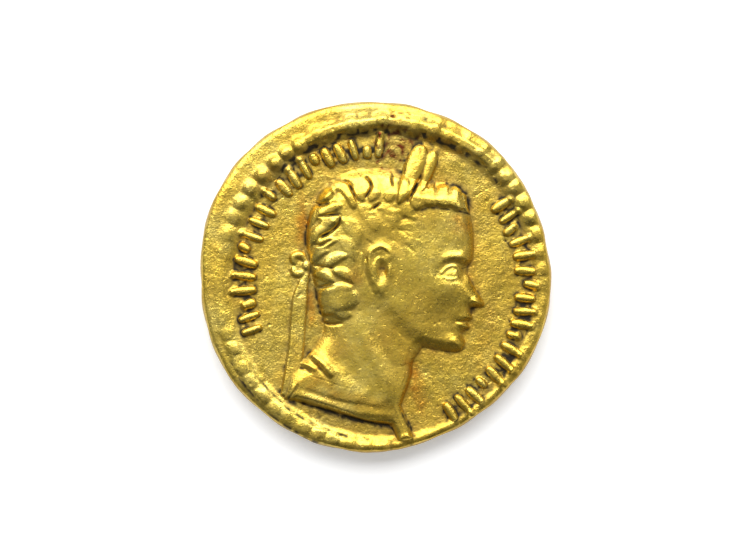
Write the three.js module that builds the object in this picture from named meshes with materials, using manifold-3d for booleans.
// A hammered gold coin, lying with its portrait side up.
// Millimetres, +Z up. The coin rests on the flat rim of its plain side at z = 0, with the middle
// of its flan on the Z axis. The portrait faces +X and its crown points to +Y.
import * as THREE from "three";
import { mergeVertices } from "three/addons/utils/BufferGeometryUtils.js";
import Module from "manifold-3d";

const wasm = await Module();
wasm.setup();

// ---- driving dimensions ----

// The flan, the blank that was struck.
const FLAN_RADIUS = 9.72;
const FLAN_STEPS = 64; // facets round the edge
const DISH_STEPS = 36; // facets round each field
const EDGE_ROUND = 0.42; // the hammered edge turns over this much at both faces
const RIM_TOP = 1.46; // the margin outside the portrait side's beads
const FIELD = 1.36; // the portrait side's field
const BACK_FIELD = 0.26; // the plain side's field, sunk so that its rim carries the coin
const OVERLAP = 0.2; // how far a raised form reaches down into what carries it

// Where hammering spread the flan unevenly: direction and width in degrees, swell in mm.
const SWELLS = [
  { towards: 40, width: 14, swell: 0.09 },
  { towards: 138, width: 24, swell: 0.17 },
  { towards: 183, width: 18, swell: -0.13 },
  { towards: 300, width: 22, swell: -0.16 },
  { towards: 345, width: 20, swell: 0.16 },
];

// The upper die was set a little off the flan's middle, so its beads run off at lower right.
const DIE = { x: 0.52, y: -0.44 };
const DIE_FIELD = 8.5; // radius of the field inside the beads
const BEADS = { ring: 9.0, count: 60, along: 0.36, across: 0.33, high: 0.24 };

// Directions, in degrees, that the beads which the blow ran together pass through.
const MERGED = [128, 108, 88, 68, 48];

// The inscription's place, kept as short upright strokes between two circles about the die.
const STROKE = { width: 0.34, high: 0.14, every: 4.7 };
const STROKE_ROWS = [
  { inner: 7.0, outer: 8.25, from: 198, to: 88 },
  { inner: 7.25, outer: 8.45, from: 33, to: -66 },
];

// The head is set out from the ear's opening, in thirds of a face: hairline to brow, brow to
// base of nose, base of nose to chin.
const THIRD = 2.6;
const EAR_HOLE = { x: 1.0, y: 0.23 };
const HEAD_TILT = THREE.MathUtils.degToRad(-6);
const FACE_DEPTH = 1.62; // from the ear's opening to the front of the brow, in thirds
const CHIN = -1.55; // the chin's height above the ear's opening, in thirds

// The plain side: a wreath round a star.
const BACK = { dish: 8.6, beads: 7.95, count: 32, wreath: 5.6, leaves: 7, star: 2.6, rays: 8 };
const BACK_RELIEF = 0.18;

const GOLD = new THREE.MeshStandardMaterial({ color: 0xc9a23a, roughness: 0.35, metalness: 1 });

// ---- solids ----

function solidOf(geometry) {
  const bare = geometry.clone();
  bare.deleteAttribute("normal");
  bare.deleteAttribute("uv");
  const merged = mergeVertices(bare, 1e-5);
  const vertProperties = merged.attributes.position.array;
  const triVerts = new Uint32Array(merged.index.array);
  const made = new wasm.Manifold(new wasm.Mesh({ numProp: 3, vertProperties, triVerts }));
  if (made.volume() > 0) return made;
  // A mirrored or downward profile comes out inside out.
  for (let i = 0; i < triVerts.length; i += 3) {
    [triVerts[i], triVerts[i + 1]] = [triVerts[i + 1], triVerts[i]];
  }
  return new wasm.Manifold(new wasm.Mesh({ numProp: 3, vertProperties, triVerts }));
}

function geometryOf(solid) {
  const { vertProperties, triVerts } = solid.getMesh();
  const geometry = new THREE.BufferGeometry();
  geometry.setAttribute("position", new THREE.BufferAttribute(vertProperties, 3));
  geometry.setIndex(new THREE.BufferAttribute(triVerts, 1));
  return geometry;
}

// Joined two by two, so that no join carries all the others along.
function joined(solids) {
  let row = solids.flat();
  while (row.length > 1) {
    const pairs = [];
    for (let i = 0; i < row.length; i += 2) {
      pairs.push(i + 1 < row.length ? row[i].add(row[i + 1]) : row[i]);
    }
    row = pairs;
  }
  return row[0];
}

// Crossing forms can close in a small void. Only the outer skin is kept, so the void is filled.
function filled(solid) {
  return solid.decompose().reduce((most, body) => (body.volume() > most.volume() ? body : most));
}

// A raised form with rounded sides that runs out to nothing at both ends, along a line.
// bed is the height that it lies on and taper thins its far end. 4 sides give it a sharp crest.
// point is 1 for round ends, over 1 for pointed ones and under 1 for blunt ones, as on a strap.
function ridge(points, width, high, options = {}) {
  const { bed = FIELD, taper = 0, point = 1, sides = 6, rings = 6 } = options;
  const line = new THREE.CatmullRomCurve3(points.map(([x, y]) => new THREE.Vector3(x, y, 0)));
  const geometry = new THREE.SphereGeometry(1, sides, rings);
  const place = geometry.attributes.position;
  const v = new THREE.Vector3();
  for (let i = 0; i < place.count; i++) {
    v.fromBufferAttribute(place, i);
    const t = (v.y + 1) / 2;
    const at = line.getPointAt(t);
    const along = line.getTangentAt(t);
    const swell = Math.max(1e-3, Math.hypot(v.x, v.z)) ** (point - 1);
    const fat = swell * (1 - taper * t);
    const aside = (v.x * width * fat) / 2;
    const lie = typeof bed === "function" ? bed(at.x, at.y, t) : bed;
    const up = v.z > 0 ? v.z * high * fat : v.z * swell * (lie - FIELD + OVERLAP);
    place.setXYZ(i, at.x + along.y * aside, at.y - along.x * aside, lie + up);
  }
  return solidOf(geometry);
}

// A low dome: half an ellipsoid above the height given, and half below it.
function dome(x, y, z, rx, ry, high, { turn = 0, sides = 12, rings = 6 } = {}) {
  const geometry = new THREE.SphereGeometry(1, sides, rings);
  geometry.rotateX(Math.PI / 2);
  geometry.scale(rx, ry, high);
  geometry.rotateZ(turn);
  geometry.translate(x, y, z);
  return solidOf(geometry);
}

function onCircle(centre, radius, degrees) {
  const a = THREE.MathUtils.degToRad(degrees);
  return [centre.x + radius * Math.cos(a), centre.y + radius * Math.sin(a)];
}

// ---- flan ----

const MIDDLE = { x: 0, y: 0 };

function flanRadius(degrees) {
  return SWELLS.reduce((radius, { towards, width, swell }) => {
    const away = ((degrees - towards + 540) % 360) - 180;
    return radius + swell * Math.exp(-((away / width) ** 2));
  }, FLAN_RADIUS);
}

function flan() {
  const edge = [];
  for (let i = 0; i < FLAN_STEPS; i++) {
    const degrees = (360 * i) / FLAN_STEPS;
    edge.push(new THREE.Vector2(...onCircle(MIDDLE, flanRadius(degrees), degrees)));
  }
  const geometry = new THREE.ExtrudeGeometry(new THREE.Shape(edge), {
    depth: RIM_TOP - 2 * EDGE_ROUND,
    bevelThickness: EDGE_ROUND,
    bevelSize: EDGE_ROUND,
    bevelOffset: -EDGE_ROUND,
    bevelSegments: 2,
  });
  geometry.translate(0, 0, EDGE_ROUND);
  return solidOf(geometry);
}

// A round recess with sloping walls, from its floor out through the face that it is cut in.
function dish(centre, radius, floor, face) {
  const slope = 0.3;
  const through = face + 2 * (face - floor);
  const profile = [
    new THREE.Vector2(0, floor),
    new THREE.Vector2(radius - slope, floor),
    new THREE.Vector2(radius + 2 * slope, through),
    new THREE.Vector2(0, through),
  ];
  const geometry = new THREE.LatheGeometry(profile, DISH_STEPS);
  geometry.rotateX(Math.PI / 2);
  geometry.translate(centre.x, centre.y, 0);
  return solidOf(geometry);
}

// ---- border and inscription of the portrait side ----

function border() {
  const forms = [];
  const [first, last] = [MERGED[0], MERGED[MERGED.length - 1]];
  for (let i = 0; i < BEADS.count; i++) {
    const degrees = (360 * i) / BEADS.count;
    if (degrees > last && degrees < first) continue;
    const [x, y] = onCircle(DIE, BEADS.ring, degrees);
    const toEdge = flanRadius(THREE.MathUtils.radToDeg(Math.atan2(y, x))) - Math.hypot(x, y);
    if (toEdge < EDGE_ROUND) continue; // the die struck nothing past the flan's turned edge
    const turn = THREE.MathUtils.degToRad(degrees + 90);
    const form = { turn, sides: 6, rings: 4 };
    forms.push(dome(x, y, FIELD, BEADS.along, BEADS.across, BEADS.high, form));
  }
  const line = MERGED.map((degrees) => onCircle(DIE, BEADS.ring, degrees));
  forms.push(ridge(line, 2.4 * BEADS.across, BEADS.high, { point: 0.3, rings: 12 }));
  return forms;
}

// One stroke, wider at its feet, standing on the circle that the row follows.
function stroke(inner, outer, degrees) {
  const geometry = new THREE.CylinderGeometry(STROKE.width / 2, STROKE.width * 0.7, 1, 4, 1);
  geometry.rotateY(Math.PI / 4);
  geometry.rotateX(Math.PI / 2);
  geometry.scale((outer - inner) / STROKE.width, 1, STROKE.high + OVERLAP);
  geometry.rotateZ(THREE.MathUtils.degToRad(degrees));
  const [x, y] = onCircle(DIE, (inner + outer) / 2, degrees);
  geometry.translate(x, y, FIELD + (STROKE.high - OVERLAP) / 2);
  return solidOf(geometry);
}

function inscription() {
  const strokes = [];
  for (const { inner, outer, from, to } of STROKE_ROWS) {
    const count = Math.round((from - to) / STROKE.every);
    for (let i = 0; i <= count; i++) {
      const short = i % 3 === 1 ? 0.3 : 0;
      strokes.push(stroke(inner + short, outer - short, from - i * STROKE.every));
    }
  }
  return strokes;
}

// ---- head ----

// A place on the head: forward of the ear's opening and above it, in thirds of a face.
function onHead(forward, up) {
  const c = Math.cos(HEAD_TILT);
  const s = Math.sin(HEAD_TILT);
  const x = forward * THIRD;
  const y = up * THIRD;
  return [EAR_HOLE.x + c * x - s * y, EAR_HOLE.y + s * x + c * y];
}

// The cushions that the relief is made of. Each is half an ellipsoid standing on the field.
const CUSHIONS = [
  { name: "skull", x: 0.8, y: 2.2, rx: 5.7, ry: 4.9, high: 0.68, turn: 0 },
  { name: "face", x: 2.0, y: -0.3, rx: 4.9, ry: 4.6, high: 0.64, turn: -0.1 },
  { name: "cheek", x: 2.9, y: -0.9, rx: 3.0, ry: 2.4, high: 0.68, turn: -0.5 },
  { name: "neck", x: -0.6, y: -4.0, rx: 3.2, ry: 6.0, high: 0.54, turn: 0.15 },
  { name: "chest", x: -1.6, y: -6.6, rx: 5.4, ry: 2.6, high: 0.44, turn: -0.25 },
];

// How high the head's surface stands at a place.
function skin(x, y) {
  const rises = CUSHIONS.map((c) => {
    const dx = (x - c.x) * Math.cos(c.turn) + (y - c.y) * Math.sin(c.turn);
    const dy = (y - c.y) * Math.cos(c.turn) - (x - c.x) * Math.sin(c.turn);
    return c.high * Math.sqrt(Math.max(0, 1 - (dx / c.rx) ** 2 - (dy / c.ry) ** 2));
  });
  return FIELD + Math.max(...rises);
}

// The face's profile by the canon: how far each place stands before the brow's plane, and how
// high it is above the chin, in thirds.
const PROFILE = [
  { at: "hairline", out: -0.1, up: 3.0 },
  { at: "forehead", out: 0.02, up: 2.6 },
  { at: "brow", out: 0.07, up: 2.04 },
  { at: "root of nose", out: -0.03, up: 1.8 },
  { at: "bridge", out: 0.16, up: 1.45 },
  { at: "tip of nose", out: 0.43, up: 1.12 },
  { at: "under nose", out: 0.36, up: 1.01 },
  { at: "base of nose", out: 0.12, up: 0.97 },
  { at: "upper lip", out: 0.2, up: 0.77 },
  { at: "mouth", out: 0.1, up: 0.68 },
  { at: "lower lip", out: 0.16, up: 0.57 },
  { at: "under lip", out: 0.01, up: 0.43 },
  { at: "chin", out: 0.1, up: 0.2 },
  { at: "under chin", out: -0.1, up: 0.01 },
  { at: "throat", out: -0.8, up: 0.04 },
].map(({ out, up }) => onHead(FACE_DEPTH + out, CHIN + up));

// Neck, cut of the bust and back of the head, in mm.
const NECK = [
  [1.95, -4.7],
  [1.85, -5.5],
  [1.28, -7.05],
];
const BUST_POINT = [
  [2.3, -8.95],
  [1.38, -9.15],
  [0.95, -8.2],
];
const CUT = [
  [-0.43, -7.94],
  [-2.03, -7.51],
  [-4.0, -6.95],
  [-4.98, -6.74],
];
const BACK_OF_HEAD = [
  [-4.6, -5.3],
  [-3.3, -3.9],
  [-2.75, -2.6],
  [-3.1, -1.2],
  [-3.3, 0.2],
  [-3.45, 2.3],
  [-2.9, 4.2],
  [-1.5, 5.6],
  [0.3, 6.15],
  [2.4, 5.7],
  [4.6, 4.9],
];

function outlineOfBust() {
  const vectors = (points) => points.map(([x, y]) => new THREE.Vector2(x, y));
  const shape = new THREE.Shape();
  shape.moveTo(...PROFILE[0]);
  shape.splineThru(vectors(PROFILE.slice(1)));
  shape.splineThru(vectors(NECK));
  for (const [x, y] of BUST_POINT) shape.lineTo(x, y);
  shape.splineThru(vectors(CUT));
  shape.splineThru(vectors(BACK_OF_HEAD));
  shape.closePath();
  return shape;
}

function bust() {
  const geometry = new THREE.ExtrudeGeometry(outlineOfBust(), {
    depth: 2,
    curveSegments: 2,
    bevelEnabled: false,
  });
  geometry.translate(0, 0, FIELD - OVERLAP);
  const cushions = CUSHIONS.map(({ x, y, rx, ry, high, turn }) => {
    return dome(x, y, FIELD, rx, ry, high, { turn, sides: 18, rings: 10 });
  });
  return solidOf(geometry).intersect(joined(cushions));
}

// Brow, eyelids, nose, lips and chin, placed by the canon.
function features() {
  const bed = (x, y) => skin(x, y) - 0.03;
  const fold = (places, width, high) => {
    const line = places.map(([forward, up]) => onHead(forward, up));
    return ridge(line, width, high, { bed, rings: 5 });
  };
  const swell = (forward, up, rx, ry, high, sunk) => {
    const [x, y] = onHead(forward, up);
    return dome(x, y, skin(x, y) - sunk, rx, ry, high, { turn: HEAD_TILT, sides: 8 });
  };
  const brow = fold([[1.0, 0.42], [1.35, 0.52], [1.66, 0.42]], 0.5, 0.14);
  const upperLid = fold([[1.04, 0.14], [1.26, 0.29], [1.45, 0.2]], 0.24, 0.1);
  const lowerLid = fold([[1.07, 0.1], [1.26, 0.04], [1.42, 0.1]], 0.2, 0.07);
  const nose = fold([[1.64, 0.25], [1.8, -0.1], [2.0, -0.45]], 0.6, 0.12);
  const upperLip = fold([[1.5, -0.86], [1.68, -0.77], [1.84, -0.8]], 0.34, 0.13);
  const lowerLip = fold([[1.52, -0.94], [1.66, -0.98], [1.8, -0.96]], 0.36, 0.12);
  const nostril = swell(1.8, -0.45, 0.4, 0.3, 0.2, 0.06);
  const chin = swell(1.45, -1.28, 0.8, 0.6, 0.26, 0.16);
  return [brow, upperLid, lowerLid, nose, upperLip, lowerLip, nostril, chin];
}

// The hollows of the eye and of the ear's bowl.
function hollows() {
  const hollow = (forward, up, rx, ry, deep, turn) => {
    const [x, y] = onHead(forward, up);
    const lip = 0.05;
    return dome(x, y, skin(x, y) + lip, rx, ry, deep + lip, { turn: turn + HEAD_TILT, sides: 10 });
  };
  return [hollow(1.3, 0.2, 0.75, 0.5, 0.16, 0.2), hollow(-0.16, 0.12, 0.26, 0.5, 0.16, 0)];
}

function ear() {
  const bed = (x, y) => skin(x, y) - 0.02;
  const onEar = (places) => places.map(([forward, up]) => onHead(forward, up));
  const rim = onEar([
    [-0.1, 0.3],
    [-0.16, 0.5],
    [-0.34, 0.54],
    [-0.48, 0.36],
    [-0.42, 0.05],
    [-0.24, -0.22],
  ]);
  const fold = onEar([[-0.12, 0.36], [-0.28, 0.34], [-0.3, 0.1], [-0.18, -0.08]]);
  const lobe = onEar([[-0.36, -0.12], [-0.2, -0.36], [-0.08, -0.2]]);
  return [
    ridge(rim, 0.36, 0.2, { bed, rings: 8 }),
    ridge(fold, 0.24, 0.12, { bed, sides: 4 }),
    ridge(lobe, 0.5, 0.18, { bed }),
  ];
}

// ---- hair, wreath and ties, in mm ----

const onHair = (sunk) => (x, y) => skin(x, y) - sunk;

// A row of like locks. Each starts at its share of the line from and curls to the same share of
// the line to, bowed aside by bow times its own length.
function lockRow({ from, to }, count, width, high, options = {}) {
  const { bow = 0.2, taper = 0.4, sunk = 0.05 } = options;
  const lineOf = (points) => new THREE.SplineCurve(points.map(([x, y]) => new THREE.Vector2(x, y)));
  const starts = lineOf(from);
  const ends = lineOf(to);
  const locks = [];
  for (let i = 0; i < count; i++) {
    const t = i / (count - 1);
    const a = starts.getPointAt(t);
    const b = ends.getPointAt(t);
    const middle = [(a.x + b.x) / 2 - (b.y - a.y) * bow, (a.y + b.y) / 2 + (b.x - a.x) * bow];
    const form = { bed: onHair(sunk), taper, sides: 5, rings: 5 };
    locks.push(ridge([[a.x, a.y], middle, [b.x, b.y]], width, high, form));
  }
  return locks;
}

// The roll of thick locks over the forehead, the long locks over the crown, the worn hair at
// the temple, and the curls and the full mass at the nape.
const LOCKS = {
  fringe: { from: [[2.3, 5.0], [3.9, 5.2], [5.2, 4.9]], to: [[2.7, 3.7], [4.2, 3.8], [5.7, 3.65]] },
  crown: { from: [[-2.9, 4.9], [-1.4, 5.9], [0.6, 6.2]], to: [[-1.6, 3.6], [-0.4, 4], [0.9, 4.2]] },
  worn: { from: [[-2.6, 3.3], [-0.9, 3.5], [1.4, 3.5]], to: [[-1.6, 1.4], [0.4, 1.9], [3.1, 2.3]] },
  curls: { from: [[-3.3, 0.15], [-2.3, 0.45]], to: [[-2.2, -0.35], [-1.0, -0.3]] },
  nape: { from: [[-3.2, -0.75], [-2.9, -1.9]], to: [[-1.1, -0.9], [-1.5, -2.4]] },
};

function hair() {
  return [
    lockRow(LOCKS.fringe, 5, 1.1, 0.34, { bow: 0.3 }),
    lockRow(LOCKS.crown, 5, 1.05, 0.2, { bow: -0.25, taper: 0.2, sunk: 0.04 }),
    lockRow(LOCKS.worn, 5, 1.0, 0.06, { bow: -0.15, taper: 0.2, sunk: 0.02 }),
    lockRow(LOCKS.curls, 2, 0.55, 0.2, { bow: 0.3 }),
    lockRow(LOCKS.nape, 3, 0.95, 0.24),
  ].flat();
}

// A laurel leaf with a sharp midrib. It lies on the head at its stem, and on the field at its
// tip where it stands clear of the head.
function leaf(stem, tip, width, high, { lift = 0.05, tipOnField = false } = {}) {
  const bed = (x, y, t) => {
    const lie = skin(x, y) + lift;
    return tipOnField ? lie + (FIELD - lie) * t * t : lie;
  };
  return ridge([stem, tip], width, high, { bed, sides: 4, rings: 4, point: 1.4 });
}

// The wreath runs from its knot at the nape up behind the ear and over the crown, two leaves to
// a stem, and ends in two tall leaves above the forehead.
function wreath() {
  const pairs = [
    { stem: [-3.3, 1.2], tips: [[-3.6, 2.5], [-2.5, 2.0]] },
    { stem: [-3.1, 2.3], tips: [[-3.4, 3.6], [-2.1, 3.1]] },
    { stem: [-2.6, 3.4], tips: [[-3.0, 4.7], [-1.4, 4.1]] },
    { stem: [-1.7, 4.3], tips: [[-1.9, 5.7], [-0.5, 4.8]] },
    { stem: [-0.6, 4.7], tips: [[-0.5, 6.1], [0.7, 4.9]] },
    { stem: [0.4, 4.8], tips: [[0.8, 6.4], [1.7, 4.9]] },
  ];
  const leaves = pairs.flatMap(({ stem, tips }) => tips.map((tip) => leaf(stem, tip, 0.75, 0.24)));
  const tall = leaf([1.25, 3.95], [2.95, 7.2], 0.95, 0.3, { lift: 0.08, tipOnField: true });
  const second = leaf([2.15, 4.7], [3.45, 6.75], 0.55, 0.22, { tipOnField: true });
  const berry = dome(-2.75, 4.5, skin(-2.75, 4.5), 0.5, 0.45, 0.28, { sides: 8 });
  return [...leaves, tall, second, berry];
}

// The knot at the nape, its bow, and the two ends of the ribbon: one hangs straight behind the
// neck, the other falls forward over the shoulder in two folds.
function ties() {
  const strap = { point: 0.4, rings: 8 };
  const fold = { bed: onHair(0), sides: 4 };
  const bow = [[-3.75, 0.9], [-4.35, 1.2], [-4.3, 0.6], [-3.7, 0.55]];
  const hanging = [[-3.65, 0.6], [-3.95, -1.3], [-4.3, -3.2], [-4.65, -5.0], [-4.9, -6.6]];
  return [
    dome(-3.65, 0.85, FIELD, 0.42, 0.42, 0.5, { sides: 8 }),
    ridge(bow, 0.3, 0.25, strap),
    ridge(hanging, 0.7, 0.24, strap),
    ridge([[-3.9, -3.95], [-3.2, -4.45], [-2.2, -5.3]], 0.4, 0.22, fold),
    ridge([[-4.3, -5.0], [-3.7, -5.4], [-3.0, -5.7]], 0.34, 0.14, fold),
  ];
}

// ---- plain side ----

// The same forms, turned over to look down from the plain side's field.
function plainSide() {
  const forms = [];
  for (let i = 0; i < BACK.count; i++) {
    const [x, y] = onCircle(MIDDLE, BACK.beads, (360 * i) / BACK.count);
    forms.push(dome(x, y, BACK_FIELD, 0.32, 0.32, BACK_RELIEF, { sides: 5, rings: 4 }));
  }
  const down = (points, width) => {
    const form = ridge(points, width, BACK_RELIEF, { sides: 4, rings: 3 });
    return form.mirror([0, 0, 1]).translate([0, 0, FIELD + BACK_FIELD]);
  };
  for (let i = 0; i < BACK.rays; i++) {
    const degrees = (360 * i) / BACK.rays;
    forms.push(down([onCircle(MIDDLE, 0.1, degrees), onCircle(MIDDLE, BACK.star, degrees)], 0.5));
  }
  // Two branches rise from the tie at the bottom, with a leaf each side of the stem at each step.
  const spread = 150;
  for (const hand of [-1, 1]) {
    for (let i = 0; i < BACK.leaves; i++) {
      const degrees = -90 + hand * (12 + (spread * i) / (BACK.leaves - 1));
      const ahead = degrees + hand * 14;
      const stem = onCircle(MIDDLE, BACK.wreath, degrees);
      forms.push(down([stem, onCircle(MIDDLE, BACK.wreath + 0.75, ahead)], 0.55));
      forms.push(down([stem, onCircle(MIDDLE, BACK.wreath - 0.75, ahead)], 0.55));
    }
  }
  forms.push(dome(0, -BACK.wreath, BACK_FIELD, 0.55, 0.4, BACK_RELIEF, { sides: 8, rings: 4 }));
  return forms;
}

// ---- the coin ----

function struckCoin() {
  const blank = flan()
    .subtract(dish(DIE, DIE_FIELD, FIELD, RIM_TOP))
    .subtract(dish(MIDDLE, BACK.dish, BACK_FIELD, 0));
  const face = bust().add(joined(features())).subtract(joined(hollows()));
  const dress = joined([ear(), hair(), wreath(), ties()].flat());
  return filled(joined([blank, border(), inscription(), face, dress, plainSide()].flat()));
}

const coin = new THREE.Mesh(geometryOf(struckCoin()), GOLD);
coin.name = "coin";

const root = new THREE.Group();
root.add(coin);

export default root;
